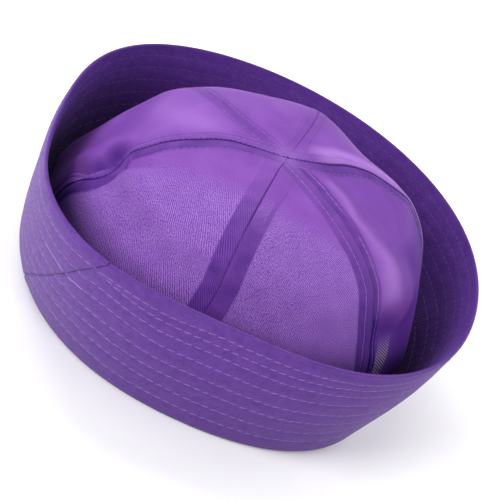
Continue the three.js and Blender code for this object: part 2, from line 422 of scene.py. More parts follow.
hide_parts("brim_outer_band")

# %% [markdown]
# ## The inner ply
# The other ply faces the crown. It takes the second half of the rim's roll, so the line where the two plies
# were sewn together and turned runs along the top.

# %% Inner ply
INNER_COLUMNS = 720
INNER_FOOT = 0.045  # the share where the inner face ends

inner_ring = directions_round(INNER_COLUMNS, dense_from=0.0, dense_to=200.0, dense_share=0.62)[:, None]
inner_share = np.linspace(RIM_START, INNER_FOOT, FACE_ROWS)[None, :]
ring_grid, share_grid = np.broadcast_arrays(inner_ring, inner_share)
plain_radius, _ = brim_wall(ring_grid, share_grid, INNER_DEPTH)
inner_relief = brim_relief(ring_grid, share_grid, plain_radius, 0.0, INNER_SEED)
inner_face = off_wall(ring_grid, share_grid, INNER_DEPTH, -inner_relief)
inner_rim = rim_roll(inner_ring, 92, 168)
hidden = brim_wall(inner_ring, np.linspace(0.03, 0.96, 8)[None, :], PLY + CLEARANCE)
numbers = {"seam_mm": [FAR] * 3, "share": [1.0, share_grid, 0.0]}
brim_inner = ring_piece("brim_inner_ply", [inner_rim, inner_face, hidden], inner_ring, numbers, -1.0)
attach(brim_inner, "root")
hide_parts("brim_inner_band")

# %% [markdown]
# ## The shape of the crown
# Six panels are sewn into a dome. Its upright sections are superellipses, squarer at the seams than between
# them, because cloth stands up at a seam and falls slack beside it. A cloth simulation could drape it, but
# would not fall as in the photo, and a formula comes out the same each time.

# %% The crown's surface
CROWN_HEIGHT = 98.0
TOP_SHIFT = np.array([1.6, -2.7])
TOP_FULLNESS = 3.0
TOP_BLEND = 8
HOLLOW_MIDDLE = np.array([0.0, 0.0, 45.0])
HEM_BOTTOM = PLY + CLEARANCE
CROWN_SECTIONS = np.array([
    # direction, fullness, swell: at each seam and in the middle of the panel that follows it
    [37, 3.7, 3.5],
    [62.5, 3.05, 0.6],
    [88, 3.6, 0.7],
    [118.5, 3.0, -0.2],
    [149, 2.9, -2.0],
    [178.5, 2.3, -2.0],
    [208, 2.9, 1.0],
    [238, 2.7, -0.6],
    [268, 3.2, 0.0],
    [298.5, 2.75, 0.2],
    [329, 3.1, 1.1],
    [363, 3.6, 3.5],
])
DENTS = np.array([
    # direction, radius and height of the middle, depth (out is negative), reach
    [205, 78, 70, 6, 15],
    [186, 66, 82, 3, 20],
    [156, 84, 62, 3.6, 19],
    [162, 90, 46, 1.2, 10],
    [145, 73, 81, 0.8, 10],
    [172, 94, 26, -3.0, 14],
    [28, 80, 78, -1.3, 18],
    [354, 93, 36, -4.0, 14],
    [110, 66, 84, -0.6, 16],
    [86, 69, 85, -1.0, 14],
    [4, 88, 64, 1.4, 10],
])


def round_the_crown(column, direction):
    """One column of the sections in any direction, eased from each to the next by half a cosine wave."""
    offsets = CROWN_SECTIONS[:, 0] - CROWN_SECTIONS[0, 0]
    way = (direction - CROWN_SECTIONS[0, 0]) % 360
    i = np.searchsorted(offsets, way, side="right") - 1
    span = np.diff(np.append(offsets, 360.0))[i]
    eased = (1 - np.cos(np.pi * (way - offsets[i]) / span)) / 2
    return column[i] + (column[(i + 1) % len(column)] - column[i]) * eased


def crown_point(direction, rise):
    """A point of the plain crown: radius R cos(rise)^(2/f) and height H sin(rise)^(2/f) for a fullness f,
    with a swell of the wall, a lean of the top, and dents pushed towards the middle of the hollow as bell
    curves."""
    own = round_the_crown(CROWN_SECTIONS[:, 1], direction)
    fullness = own + (TOP_FULLNESS - own) * np.sin(rise) ** TOP_BLEND
    swell = round_the_crown(CROWN_SECTIONS[:, 2], direction) * np.sin(2 * rise)
    hem_radius = brim_wall(direction, 0.0, 2 * PLY + 2 * CLEARANCE)[0]
    radius = (hem_radius + swell) * np.clip(np.cos(rise), 0, 1) ** (2 / fullness)
    z = HEM_BOTTOM + (CROWN_HEIGHT - HEM_BOTTOM) * np.sin(rise) ** (2 / fullness)
    points = polar(direction, radius, z)
    points[..., :2] += TOP_SHIFT * (np.sin(rise) ** 2)[..., None]
    push = np.zeros(points.shape[:-1])
    for where, from_axis, height, depth, reach in DENTS:
        middle = polar(where, from_axis, height)
        push += depth * bell(np.linalg.norm(points - middle, axis=-1), reach)
    inward = HOLLOW_MIDDLE - points
    inward /= np.linalg.norm(inward, axis=-1, keepdims=True)
    return points + inward * push[..., None]


def outward(points):
    """Unit normals of a grid of points, the cross product of its steps around and up the crown."""
    up_the_crown = np.gradient(points, axis=0)
    around = np.gradient(points, axis=1)
    normal = np.cross(around, up_the_crown)
    length = np.linalg.norm(normal, axis=-1, keepdims=True)
    return normal / np.maximum(length, 1e-12)


print("top of the crown, mm:", crown_point(np.array([0.0]), np.array([np.pi / 2]))[0].round(1))

# %% [markdown]
# ## The courses of the seams
# Sewn cloth never hangs quite straight. Each seam has a course: the directions that it reaches at a few
# rises, from 0 degrees at the hem to 90 at the top. The seam at the left swings round a hollow in the
# crown.

# %% Seam lines
BACK_RIGHT, BACK_LEFT, LEFT, FRONT_LEFT, FRONT_RIGHT, RIGHT = range(6)  # panel i, between seams i and i + 1
TIP_RISE = np.pi / 2 - 1e-4
SEAM_COURSES = [
    # rises, then the directions reached there; one pair for each seam
    (
        [0, 30, 38, 42, 45, 48, 52, 56, 61, 66, 69, 73, 78, 84, 87, 90],
        [18, 19, 21.5, 25, 30, 33.5, 34.5, 34.5, 35.5, 38, 40.3, 41.5, 42.5, 38.5, 35.5, 34],
    ),
    ([0, 60, 72, 81, 90], [88, 87.5, 86.5, 86, 86]),
    ([0, 60, 67, 77.5, 83, 90], [147, 148, 151.5, 157, 159, 156]),
    (
        [0, 20, 24, 27.5, 30, 33, 35, 37, 39, 41, 44, 47, 51, 55, 60, 66, 71, 77, 81, 90],
        [200, 204, 206.5, 209, 210.5, 211, 211, 210, 208, 205, 203.3, 205, 206.5, 207, 206.5, 206, 205.5,
         202.5, 200.5, 203],
    ),
    ([0, 35, 45, 60, 74, 84, 90], [272, 272.5, 271.3, 270, 269, 268, 264]),
    ([0, 20, 28, 38, 45, 50, 62, 70, 81, 90], [331, 330, 328.5, 328, 329, 330, 330.5, 330.3, 331, 335]),
]
SEAM_POINTS = 520
MAIN_ARMS = (3, 0)  # the two seams that make up the main seam over the top


def seam_direction(i, rise):
    """The direction of a seam at a rise in radians."""
    rises, directions = SEAM_COURSES[i % len(SEAM_COURSES)]
    return smoothed(np.degrees(rise), rises, directions, 4, 1.5)


def seam_line(i):
    """Points along a seam of the plain crown, from the hem to the top."""
    rise = np.linspace(0, TIP_RISE, SEAM_POINTS)
    return crown_point(seam_direction(i, rise), rise)


def to_line(points, line):
    """Distance in mm from each point of a grid to a line of close points, and how far along it the nearest
    lies. The squared distance is |p|^2 - 2 p.q + |q|^2, worked out row by row."""
    length = step_lengths(line)
    squares = [(row ** 2).sum(-1)[:, None] - 2 * row @ line.T + (line ** 2).sum(-1) for row in points]
    distance = np.stack([np.sqrt(np.maximum(square.min(-1), 0)) for square in squares])
    return distance, np.stack([length[square.argmin(-1)] for square in squares])


def line_distance(points, line):
    """Only the distances of to_line."""
    return to_line(points, line)[0]


main_seam = np.concatenate([seam_line(MAIN_ARMS[0]), seam_line(MAIN_ARMS[1])[::-1]])
MAIN_MIDDLE = step_lengths(seam_line(MAIN_ARMS[0]))[-1]
print("length of the main seam over the crown, mm:", step_lengths(main_seam)[-1].round())

# %% [markdown]
# ## The relief of the seams
# The crown was sewn as two halves of three panels, and then one main seam was run right over the top. A
# seam is a groove, and the turned-in edges make a raised band of doubled cloth on each side of it. Rows of
# topstitching hold most of the bands down.

# %% Seam relief
GROOVE_DEPTH = 0.6
GROOVE_REACH = 0.48
BAND_RISE = 0.32
STITCH_DIP = 0.3
FRONT_ROWS = (5.8,)  # distances of topstitching in front of the main seam
BACK_ROWS = (4.3, 7.3)  # and behind it
SIDE_ROWS = {1: (4.7, 4.7), 2: (3.4, 3.8), 5: (5.3, 3.4)}  # and clockwise and anticlockwise of a side seam
SIDE_GROOVES = {1: 0.3, 2: 0.4, 4: 0.5, 5: 0.4}  # depth of a side seam's groove
SIDE_LINES = {1: 0.5, 2: 0.3, 4: 0.8, 5: 0.4}  # how dark it looks
# painted shade of the doubled cloth, which lets less light through
SIDE_SHADES = {1: 0.5, 2: 0.8, 4: 1.0, 5: 1.0}  # and how dark the doubled cloth beside it looks
SIDE_LINE_REACH = 0.35
OPEN_SEAM = 4  # the front seam, whose edges are pressed open and not topstitched
MAIN_BAND = 6.6  # widths of the doubled cloth
OPEN_BAND = 8.3
TOP_BAND = 5.4
WIDE_BAND = 9.3  # of the right seam on the front right panel, as it shows
# strips of painted shadow beside a groove, where the cloth steps down
SHADOW_STRIPS = {(2, BACK_LEFT): 1.0, (5, RIGHT): 1.7}  # seam and panel of each dark strip by a groove, how dark
SHADOW_STRIP_MIDDLE = 1.6
HOLE_PITCH = 2.4  # of the needle holes that show along the main seam


def seam_relief(distance, band, rows, groove=GROOVE_DEPTH):
    """How far cloth stands out at a distance from a seam: the raised band, the groove and the stitched
    dips."""
    relief = BAND_RISE * (1 - ramp(distance, band - 0.5, band + 0.7))
    relief = relief - groove * bell(distance, GROOVE_REACH)
    for row in rows:
        relief = relief - STITCH_DIP * bell(distance - row, 0.75)
    return relief


print("relief 0, 3 and 9 mm from a seam:", seam_relief(np.array([0.0, 3.0, 9.0]), TOP_BAND, ()).round(2))

# %% [markdown]
# ## Creases
# Slack cloth folds. Each fold or ridge is a line over the crown, and the cloth rises or falls along it,
# because folds that are placed one by one can follow the real ones.

# %% Creases
CREASES = [
    # height (in is negative), reach, then the directions and the rises that the fold runs through
    (-3.8, 5.0, [202.5, 202.8, 201.3, 199.5], [26, 31, 35, 38]),
    (1.5, 6.0, [194, 194.5, 193.5, 192], [25, 29, 36, 41]),
    (1.2, 3.5, [206, 208], [24, 31]),
    (-1.1, 3.0, [211, 219], [40.5, 52]),
    (1.5, 6.5, [355, 340.5, 341, 342.3, 339.5], [82.7, 73.3, 63.8, 56.1, 44]),
    (-2.0, 10.0, [380.5, 370.5, 361, 357], [79.3, 72.6, 61.3, 52]),
    (-3.4, 10.0, [336, 344], [29, 26]),
    (0.8, 5.0, [115, 113], [60, 73]),
    (-0.8, 8.0, [135, 128], [66, 70]),
    (1.0, 8.0, [168, 160], [68, 55]),
]


def crease_line(directions, rises):
    """Close points of a line on the plain crown through a few directions and rises."""
    t = np.linspace(0, len(rises) - 1, 160)
    stops = np.arange(len(rises))
    return crown_point(np.interp(t, stops, directions), np.radians(np.interp(t, stops, rises)))


def crease_relief(points):
    """Folds and ridges of the slack cloth, each a bell curve of the distance to its line."""
    total = 0.0
    for height, width, directions, rises in CREASES:
        total = total + height * bell(line_distance(points, crease_line(directions, rises)), width)
    return total


print("folds and ridges:", len(CREASES))

# %% [markdown]
# ## Painted light and shade on the crown
# Highlights are painted pale on the top, on the back right panel and along the crests of a ridge and a
# fold.
# At the front, light comes through the single cloth and brings out its grain, and shade is painted low on
# the right, where no light reaches it, and in the dimple at the left. Here each becomes a number at every
# point, for the material to read.

# %% Painted light and shade
# lines of painted highlight, along the crest of a ridge on the right and of a fold on the left
LIT_RIDGE_LINE = ([355, 340.5, 341, 342, 338], [82.7, 73.3, 63.8, 56.1, 42])  # directions, rises
LIT_FOLD_LINE = ([170, 176, 181, 184], [52, 60, 66, 71])
# lines of painted shade: in the dimple at the left and beside it
DIMPLE = ([202, 206, 202, 198.5], [31, 37.5, 34.5, 37.5])
DIMPLE_SIDE = ([192, 180, 168], [31, 38, 47])
# ends of a patch low on the right where light is painted coming through the cloth
PATCH_ENDS = ([333.5, 338.6], [8.0, 28.0])
LIGHT_FRONT = 43.5  # how far in front of the axis the light starts to come through
# painted shade low on the right, below these heights
SHADE_EDGE = (  # directions, and the heights below which the low right of the crown is dark
    [321, 328, 335, 341, 346, 350, 354, 359, 372],
    [79, 77, 73, 69, 66, 75, 84, 89, 88],
)


def near_line(points, directions, rises, reach):
    """A bell curve of the distance to a line on the crown."""
    return bell(line_distance(points, crease_line(directions, rises)), reach)


def painted_light_and_grain(i, points, to_main, right_arm):
    """Four numbers: how strongly a highlight is painted pale, how far light comes through the cloth, how
    strongly its grain then shows, and how dark shade is painted where little light reaches it."""
    x, y, z = np.moveaxis(points, -1, 0)
    spot = through = grain = shaded = 0 * z
    # light painted coming through the single cloth at the front
    front = ramp(-y - (LIGHT_FRONT - 0.2 * np.clip(x - 15, 0, None)), -9.0, 9.0)
    direction = (np.degrees(np.arctan2(y, x)) - 180) % 360 + 180
    # painted shade low on the right, where little light reaches
    low_right = ramp(np.interp(direction, *SHADE_EDGE) - z, -4.0, 8.0)
    if i == BACK_RIGHT:
        # a painted highlight on the back right panel, behind the right arm of the main seam
        spot = 0.9 * (right_arm * ramp(-to_main, -16, -8) * ramp(z, 52, 78))
    elif i == LEFT:
        # a painted highlight along the crest of a fold
        spot = 0.4 * near_line(points, *LIT_FOLD_LINE, 9.0)
        # painted shade in the dimple and beside it
        beside_dimple = 0.4 * near_line(points, *DIMPLE_SIDE, 9.0)
        shaded = np.maximum(1.2 * near_line(points, *DIMPLE, 5.5), beside_dimple)
    elif i == FRONT_LEFT:
        through = front
        grain = 1.3 + 0.8 * ramp(-z, -66, -44)
    elif i == FRONT_RIGHT:
        through = front
        grain = 1.5 - 0.5 * ramp(x, 30, 60) + 1.1 * ramp(-z, -58, -42)
        to_seam = line_distance(points, seam_line(RIGHT))
        shaded = low_right * (1 - ramp(to_seam, WIDE_BAND - 0.4, WIDE_BAND + 0.4))
    elif i == RIGHT:
        # a painted highlight along the crest of the ridge, wider low down
        lower = ramp(-z, -94, -84)
        spot = (0.4 + 0.25 * lower) * near_line(points, *LIT_RIDGE_LINE, 3.0 + 4.0 * lower) * ramp(z, 70, 82)
        patch = np.linspace(*crown_point(np.array(PATCH_ENDS[0]), np.radians(PATCH_ENDS[1])), 30)
        through = (1 - ramp(line_distance(points, patch), 4.6, 7.0)) * (1 - ramp(z, 50, 62))
        grain = 3.0 + 0 * z
        # painted shade over the right panel, away from the lit ridge
        from_ridge = ramp(line_distance(points, crease_line(*LIT_RIDGE_LINE)), 4.0, 10.0)
        shaded = np.maximum(low_right, 0.36 * (from_ridge * ramp(direction, 338, 350)))
    top = crown_point(np.array([0.0]), np.array([TIP_RISE]))[0]
    # a painted highlight round the top, joined with the spots above
    painted_highlight = np.maximum(0.5 * bell(np.linalg.norm(points - top, axis=-1), 9.0), spot)
    return painted_highlight, through, grain, shaded


print("heights of the worn ridge, mm:", crease_line(*LIT_RIDGE_LINE)[[0, -1], 2].round())

# %% [markdown]
# ## A panel's relief
# The relief adds up what each seam does to the cloth beside it. The others fade out under the main seam's
# band.

# %% Relief of one panel


def side_seam(i, seam, plain, covered):
    """A side seam's relief on a panel, how dark the doubled cloth beside it is, and how dark its groove."""
    distance = line_distance(plain, seam_line(seam))
    opened = seam == OPEN_SEAM
    band = OPEN_BAND if opened else TOP_BAND
    seen = WIDE_BAND if (seam, i) == (5, FRONT_RIGHT) else band
    rows = () if opened else (SIDE_ROWS[seam][int(seam == i)],)
    relief = seam_relief(distance, band, rows, SIDE_GROOVES[seam])
    doubled = SIDE_SHADES[seam] * (1 - ramp(distance, seen - 0.4, seen + 0.4))
    groove = SIDE_LINES[seam] * bell(distance, SIDE_LINE_REACH)
    if opened:
        forward = -plain[..., 1]
        groove = groove * (1 - 0.8 * ramp(forward, 52, 66))
        if i == FRONT_LEFT:
            doubled = doubled * (0.25 + 0.75 * ramp(forward, 18, 78))
        else:
            streak = 0.55 * ramp(distance, 5.2, 6.8) * ramp(forward, 28, 40)
            doubled = doubled * np.maximum(0.05 + 0.9 * ramp(forward, 44, 62), streak)
    else:
        groove = groove * (1 - covered)
    # a strip of painted shadow beside the groove
    if (seam, i) in SHADOW_STRIPS:
        strip = 1 - ramp(np.abs(distance - SHADOW_STRIP_MIDDLE), 0.8, SHADOW_STRIP_MIDDLE + 0.6)
        relief = relief - 0.15 * strip
        doubled = np.maximum(doubled, SHADOW_STRIPS[seam, i] * strip * (1 - covered))
    return (1 - covered) * relief, doubled, groove


def panel_relief(i, plain):
    """The outer sheet's relief, with the numbers that the finish needs at each point."""
    front = i in (FRONT_LEFT, FRONT_RIGHT, RIGHT)
    to_main, along_main = to_line(plain, main_seam)
    covered = 1 - ramp(to_main, MAIN_BAND - 1.5, MAIN_BAND)
    left_arm = ramp(MAIN_MIDDLE - along_main, 10, 60)
    right_arm = ramp(along_main, MAIN_MIDDLE + 12, MAIN_MIDDLE + 30)
    relief = seam_relief(to_main, MAIN_BAND, FRONT_ROWS if front else BACK_ROWS)
    # how dark the painted shade of the doubled main band is: most on the front, above all on the left arm
    dark = 1.0 + 0.6 * left_arm if front else 0.6
    doubled = (1 - ramp(to_main, MAIN_BAND - 0.6, MAIN_BAND + 0.4)) * dark
    holes = 0.5 + 0.5 * np.cos(2 * np.pi * along_main / HOLE_PITCH)
    hole_reach = 0.05 if front else 0.75
    groove = bell(to_main, 0.45 + hole_reach * holes ** 3 * (1 - right_arm) + 0.25 * right_arm)
    if i == BACK_RIGHT:
        relief = relief + 0.5 * right_arm * bell(to_main - 2.2, 1.8)
    for seam in (i, (i + 1) % 6):
        if seam not in MAIN_ARMS:
            own_relief, own_doubled, own_groove = side_seam(i, seam, plain, covered)
            relief = relief + own_relief
            doubled = np.maximum(doubled, own_doubled)
            groove = np.maximum(groove, own_groove)
    return relief, doubled, groove, *painted_light_and_grain(i, plain, to_main, right_arm)


print("seams with a dark strip beside them:", sorted({seam for seam, panel in SHADOW_STRIPS}))

# %% [markdown]
# ## One panel as cloth
# A panel is a closed shell: a fine outer sheet with the relief, a plain inner sheet, and the edges between.

# %% Panel meshes
PANEL_NAMES = ["back_right", "back_left", "left", "front_left", "front_right", "right"]
PANEL_NUMBERS = ("doubled", "groove", "painted_highlight", "through", "grain", "shaded")
PANEL_COLUMNS = 122
PANEL_ROWS = 186
PANEL_WALL = 1.2
EDGE_CROWDING = 0.55  # of the columns

fine_rise = np.linspace(0, TIP_RISE, 3000)
front_line = crown_point(np.full_like(fine_rise, 298.0), fine_rise)
front_length = step_lengths(front_line)
RISES = np.interp(np.linspace(0, front_length[-1], PANEL_ROWS), front_length, fine_rise)[:, None]


def panel_grid(i):
    """Directions and rises of a panel's grid. Rows are evenly spaced up the cloth. Columns crowd towards
    its seams: w - c sin(2 pi w) / (2 pi) for the way w across."""
    way = np.linspace(0, 1, PANEL_COLUMNS)[None, :]
    way = way - EDGE_CROWDING * np.sin(2 * np.pi * way) / (2 * np.pi)
    start = seam_direction(i, RISES)
    span = (seam_direction(i + 1, RISES) - start) % 360
    return start + span * way, RISES + 0 * way


def stitch_up(outer, inner):
    """A closed shell from two grids of the same size: both sheets, and a strip round their border. The last
    row of each grid is one point, the panel's tip."""
    rows, columns = outer.shape[:2]
    size = rows * columns
    sheet = grid_faces(rows, columns)
    left = np.arange(rows) * columns
    right = left + columns - 1
    hem = np.arange(columns)
    border = np.concatenate([hem[:-1], right[:-1], left[:0:-1]])
    after = np.concatenate([hem[1:], right[1:], left[-2::-1]])
    strip = np.stack([border, border + size, after + size, after], axis=-1)
    faces = np.concatenate([sheet, sheet[:, ::-1] + size, strip])
    name_of = np.arange(2 * size)
    name_of[size - columns:size] = size - columns
    name_of[2 * size - columns:] = 2 * size - columns
    used, faces = np.unique(name_of[faces], return_inverse=True)
    corners = [list(dict.fromkeys(face)) for face in faces.reshape(-1, 4).tolist()]
    points = np.concatenate([outer.reshape(-1, 3), inner.reshape(-1, 3)])[used]
    return points, [face for face in corners if len(face) > 2], used


def crown_panel(i):
    """One panel, with its UV in mm: across the cloth from its middle, and up from the hem."""
    direction, rise = panel_grid(i)
    plain = crown_point(direction, rise)
    normal = outward(plain)
    relief, *numbers = panel_relief(i, plain)
    at_top = ramp(rise, 1.45, 1.565)
    crease = crease_relief(plain)
    outer = plain + normal * ((relief + crease) * (1 - at_top) + 0.2 * at_top)[..., None]
    inner = plain - normal * (PANEL_WALL - crease * (1 - at_top))[..., None]
    outer[-1] = outer[-1].mean(axis=0)
    inner[-1] = inner[-1].mean(axis=0)
    points, faces, used = stitch_up(outer, inner)
    steps = np.linalg.norm(np.diff(plain, axis=0), axis=-1).mean(axis=1)
    up_mm = np.append(0, np.cumsum(steps))[:, None] + 0 * rise
    width = np.cumsum(np.linalg.norm(np.diff(plain, axis=1, prepend=plain[:, :1]), axis=-1), axis=1)
    uv = np.stack([width - width[:, -1:] / 2, up_mm], axis=-1).reshape(-1, 2)
    attributes = {key: np.tile(grid.ravel(), 2)[used] for key, grid in zip(PANEL_NUMBERS, numbers)}
    piece = make_piece("panel_" + PANEL_NAMES[i], points, faces, attributes, np.tile(uv, (2, 1))[used])
    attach(piece, "root")
    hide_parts("crown_panel_" + PANEL_NAMES[i])
    return piece


panels = [crown_panel(i) for i in range(len(PANEL_NAMES))]

# %% [markdown]
# ## Stitches
# A topstitch is a short length of thread that lies on the cloth between two needle holes. Each is a small
# bent capsule with a few dozen faces, and all the stitches of one kind are one mesh. Painted dashes would
# be lighter work, but a modelled thread catches light and throws a fine shadow.

# %% Making stitches
THREAD_SIDES = 5
THREAD_RINGS = np.array([-1, -0.88, 0, 0.88, 1])  # places of the rings, from end to end
THREAD_SINK = 0.35  # how deep the ends lie in the cloth


def stitch_piece(name, place, along, normals, length, radius, lift):
    """Many stitches as one mesh, each a row of rings closed by a point at each end. Their height above the
    cloth falls from the lift by t^8 towards the ends, where t is -1 and 1, so that the ends go down into
    it."""
    height = lift - (lift + THREAD_SINK) * THREAD_RINGS ** 8
    size = radius[:, None] * (1 - 0.25 * THREAD_RINGS ** 8)
    half = length[:, None] / 2
    spine = place[:, None] + along[:, None] * (half * THREAD_RINGS)[..., None]
    spine = spine + normals[:, None] * height[None, :, None]
    angle = np.linspace(0, 2 * np.pi, THREAD_SIDES, endpoint=False)[:, None]
    side = np.cross(normals, along)
    around = side[:, None, None] * np.cos(angle) + normals[:, None, None] * np.sin(angle)
    rings = spine[:, :, None] + around * size[..., None, None]
    tips = place[:, None] + along[:, None] * (np.array([-1, 1]) * (half + 0.1))[..., None]
    tips = tips - normals[:, None] * (THREAD_SINK + 0.05)
    points = np.concatenate([rings.reshape(len(place), -1, 3), tips], axis=1)
    tube = grid_faces(len(THREAD_RINGS), THREAD_SIDES, close_columns=True)[:, ::-1]
    first = np.arange(THREAD_SIDES)
    following = np.roll(first, -1)
    tip = np.full(THREAD_SIDES, points.shape[1] - 2)
    last = tip[0] - THREAD_SIDES
    start = np.stack([tip, first, following], axis=-1)
    finish = np.stack([tip + 1, last + following, last + first], axis=-1)
    offsets = (np.arange(len(place)) * points.shape[1])[:, None, None]
    faces = (tube[None] + offsets).reshape(-1, 4).tolist()
    faces += (np.concatenate([start, finish])[None] + offsets).reshape(-1, 3).tolist()
    piece = make_piece(name, points.reshape(-1, 3), faces)
    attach(piece, "root")
    return piece


def even_places(line, pitch, start=0.5):
    """Places at an even pitch along a line of points, and the line's direction at each."""
    length = step_lengths(line)
    where = (np.arange(int(length[-1] / pitch)) + start) * pitch

    def at(distance):
        return np.stack([np.interp(distance, length, line[:, k]) for k in range(3)], axis=-1)

    along = at(where + 0.5) - at(where - 0.5)
    return at(where), along / np.maximum(np.linalg.norm(along, axis=1, keepdims=True), 1e-9)


def slanted(along, normals, degrees):
    """Directions turned about the normals, as lockstitches lie."""
    angle = np.radians(degrees)
    return along * np.cos(angle) + np.cross(normals, along) * np.sin(angle)


print("faces of one stitch:", THREAD_SIDES * (len(THREAD_RINGS) + 1))

# %% [markdown]
# ## Rows on the brim
# The needle went through both plies, so both carry the same rows, and the stitches lie in the dips of the
# relief. Over the slanting seam one row's thread runs on in one long float.

# %% Brim stitching
BRIM_PITCH = 4.6
BRIM_STITCH = 3.9  # length of one stitch
BRIM_THREAD = 0.12  # radius
BRIM_LIFT = 0.1
SLANT = 7.0  # degrees that the stitches are turned from their row
LOOSE_ROW = 4
LOOSE_ARC = (226.0, 242.5)
LOOSE_STITCH = BRIM_PITCH + 0.4
LOOSE_THREAD = 0.24


def brim_row(row, depth, side, seam_depth, seed):
    """Places, directions, normals, lengths and radii of one row's stitches, outside (side 1) or inside
    (-1)."""
    direction = np.linspace(0, 360, 1441)
    share = row_shares(direction)[:, row]
    radius, _, normal, _ = wall_frame(direction, share, depth)
    relief = brim_relief(direction[:, None], share[:, None], radius[:, None], seam_depth, seed)[:, 0]
    line = polar(direction, *off_wall(direction, share, depth, side * relief))
    place, along = even_places(line, BRIM_PITCH, 0.1 + 0.37 * row)
    heading = np.degrees(np.arctan2(place[:, 1], place[:, 0])) % 360
    out = polar(heading, np.interp(heading, direction, normal[0]), np.interp(heading, direction, normal[1]))
    keep = np.ones(len(place), bool)
    if row == ROWS - 2:
        shares = row_shares(heading)
        keep = shares[:, row + 1] - shares[:, row] > MERGED
    loose = (side > 0) & (row == LOOSE_ROW) & (heading > LOOSE_ARC[0]) & (heading < LOOSE_ARC[1])
    length = np.where(loose, LOOSE_STITCH, BRIM_STITCH)
    radius = np.where(loose, LOOSE_THREAD, BRIM_THREAD)
    return place[keep], along[keep], side * out[keep], length[keep], radius[keep]


def brim_stitching(name, depth, side, seam_depth, seed):
    """All rows of one face of the brim as one piece."""
    rows = [brim_row(row, depth, side, seam_depth, seed) for row in range(ROWS)]
    place, along, normals, length, radius = (np.concatenate(parts) for parts in zip(*rows))
    slant = np.where(radius > BRIM_THREAD, 0.0, side * SLANT)[:, None]
    return stitch_piece(name, place, slanted(along, normals, slant), normals, length, radius, BRIM_LIFT)


outer_stitches = brim_stitching("brim_outer_stitching", 0.0, 1, 1.0, OUTER_SEED)
inner_stitches = brim_stitching("brim_inner_stitching", INNER_DEPTH, -1, 0.0, INNER_SEED)

# %% [markdown]
# ## Rows on the crown
# The crown's topstitching runs beside the seams at a steady distance. Each line is moved sideways from its
# seam and laid on the finished cloth by finding the nearest point of the panels. No side row runs under the
# main band.

# %% Crown stitching
CROWN_PITCH = 3.4
CROWN_STITCH = CROWN_PITCH - 0.15
CROWN_LIFT = 0.05
CROWN_SLANT = 4.0
MAIN_THREAD = 0.11
SIDE_THREADS = {1: 0.1, 2: 0.13, 5: 0.17}  # radius beside each side seam

panel_points = []
panel_faces = []
for panel in panels:
    start = len(panel_points)
    panel_points.extend(tuple(v.co) for v in panel.data.vertices)
    panel_faces.extend(tuple(start + k for k in face.vertices) for face in panel.data.polygons)
cloth = BVHTree.FromPolygons(panel_points, panel_faces)


def laid_on_cloth(points):
    """The nearest points on the panels, with the cloth's outward normals there."""
    found = [cloth.find_nearest(Vector((point + AXIS) * MM)) for point in points]
    place = np.array([hit[0] for hit in found]) / MM - AXIS
    normal = np.array([hit[1] for hit in found])
    outwards = points - HOLLOW_MIDDLE
    return place, normal * np.sign((normal * outwards).sum(-1, keepdims=True))


def beside(line, distance):
    """A line moved sideways on the crown, along the cross product of its direction and the way out of the
    hollow: anticlockwise of a seam that runs up."""
    ahead = np.gradient(line, axis=0)
    outwards = line - HOLLOW_MIDDLE
    aside = np.cross(ahead, outwards)
    aside /= np.linalg.norm(aside, axis=-1, keepdims=True)
    return line + aside * distance


def crown_row(line, distance):
    """Places, directions and normals of the stitches of one row beside a line."""
    place, along = even_places(beside(line, distance), CROWN_PITCH)
    place, normals = laid_on_cloth(place)
    along = along - normals * (along * normals).sum(-1, keepdims=True)
    along /= np.linalg.norm(along, axis=-1, keepdims=True)
    return place, along, normals


rows = [crown_row(main_seam, distance) for distance in (*FRONT_ROWS, *(-d for d in BACK_ROWS))]
radii = [np.full(len(row[0]), MAIN_THREAD) for row in rows]
for seam, (clockwise, anticlockwise) in SIDE_ROWS.items():
    for distance in (anticlockwise, -clockwise):
        row = crown_row(seam_line(seam), distance)
        in_sight = line_distance(row[0][None], main_seam)[0] > MAIN_BAND
        rows.append(tuple(part[in_sight] for part in row))
        radii.append(np.full(in_sight.sum(), SIDE_THREADS[seam]))
place, along, normals = (np.concatenate(parts) for parts in zip(*rows))
along = slanted(along, normals, CROWN_SLANT)
lengths = np.full(len(place), CROWN_STITCH)
crown_stitches = stitch_piece(
    "crown_stitching", place, along, normals, lengths, np.concatenate(radii), CROWN_LIFT
)

# %% [markdown]
# ## Cloth materials
# Cotton twill is woven so that its threads float in slanting lines, and the fine fibres that stand up give
# it a soft pale sheen. A picture of cloth could be laid over each piece, but patterns worked out by nodes
# have no edges, and they follow the piece's own UV map, in millimetres along the cloth. One function adds
# every node.

# %% Colours and node helper
COLOURS = {"data_type": "RGBA", "output": 2}  # for a Mix node of two colours, which are its inputs 6 and 7


def linear(hex_colour):
    """An sRGB hex colour as linear red, green, blue and alpha: c / 12.92 where c is small, else ((c +
    0.055) / 1.055)^2.4."""
    srgb = np.array([int(hex_colour[i:i + 2], 16) for i in (1, 3, 5)]) / 255
    return (*np.where(srgb <= 0.04045, srgb / 12.92, ((srgb + 0.055) / 1.055) ** 2.4).tolist(), 1.0)


def new_material(name):
    """A material without any nodes yet."""
    material = bpy.data.materials.new(name)
    material.use_nodes = True
    material.node_tree.nodes.clear()
    return material


def add_node(material, kind, *values, inputs=(), output=0, **settings):
    """Adds a shader node with its settings. Values fill its first inputs in turn, and inputs fill others by
    name or number, with numbers, hex colours or other nodes' outputs. Gives back one of its outputs."""
    tree = material.node_tree
    node = tree.nodes.new("ShaderNode" + kind)
    for key, value in settings.items():
        setattr(node, key, value)
    for key, value in [*enumerate(values), *dict(inputs).items()]:
        if isinstance(value, bpy.types.NodeSocket):
            tree.links.new(value, node.inputs[key])
        else:
            node.inputs[key].default_value = linear(value) if isinstance(value, str) else value
    return node.outputs[output] if node.outputs else None


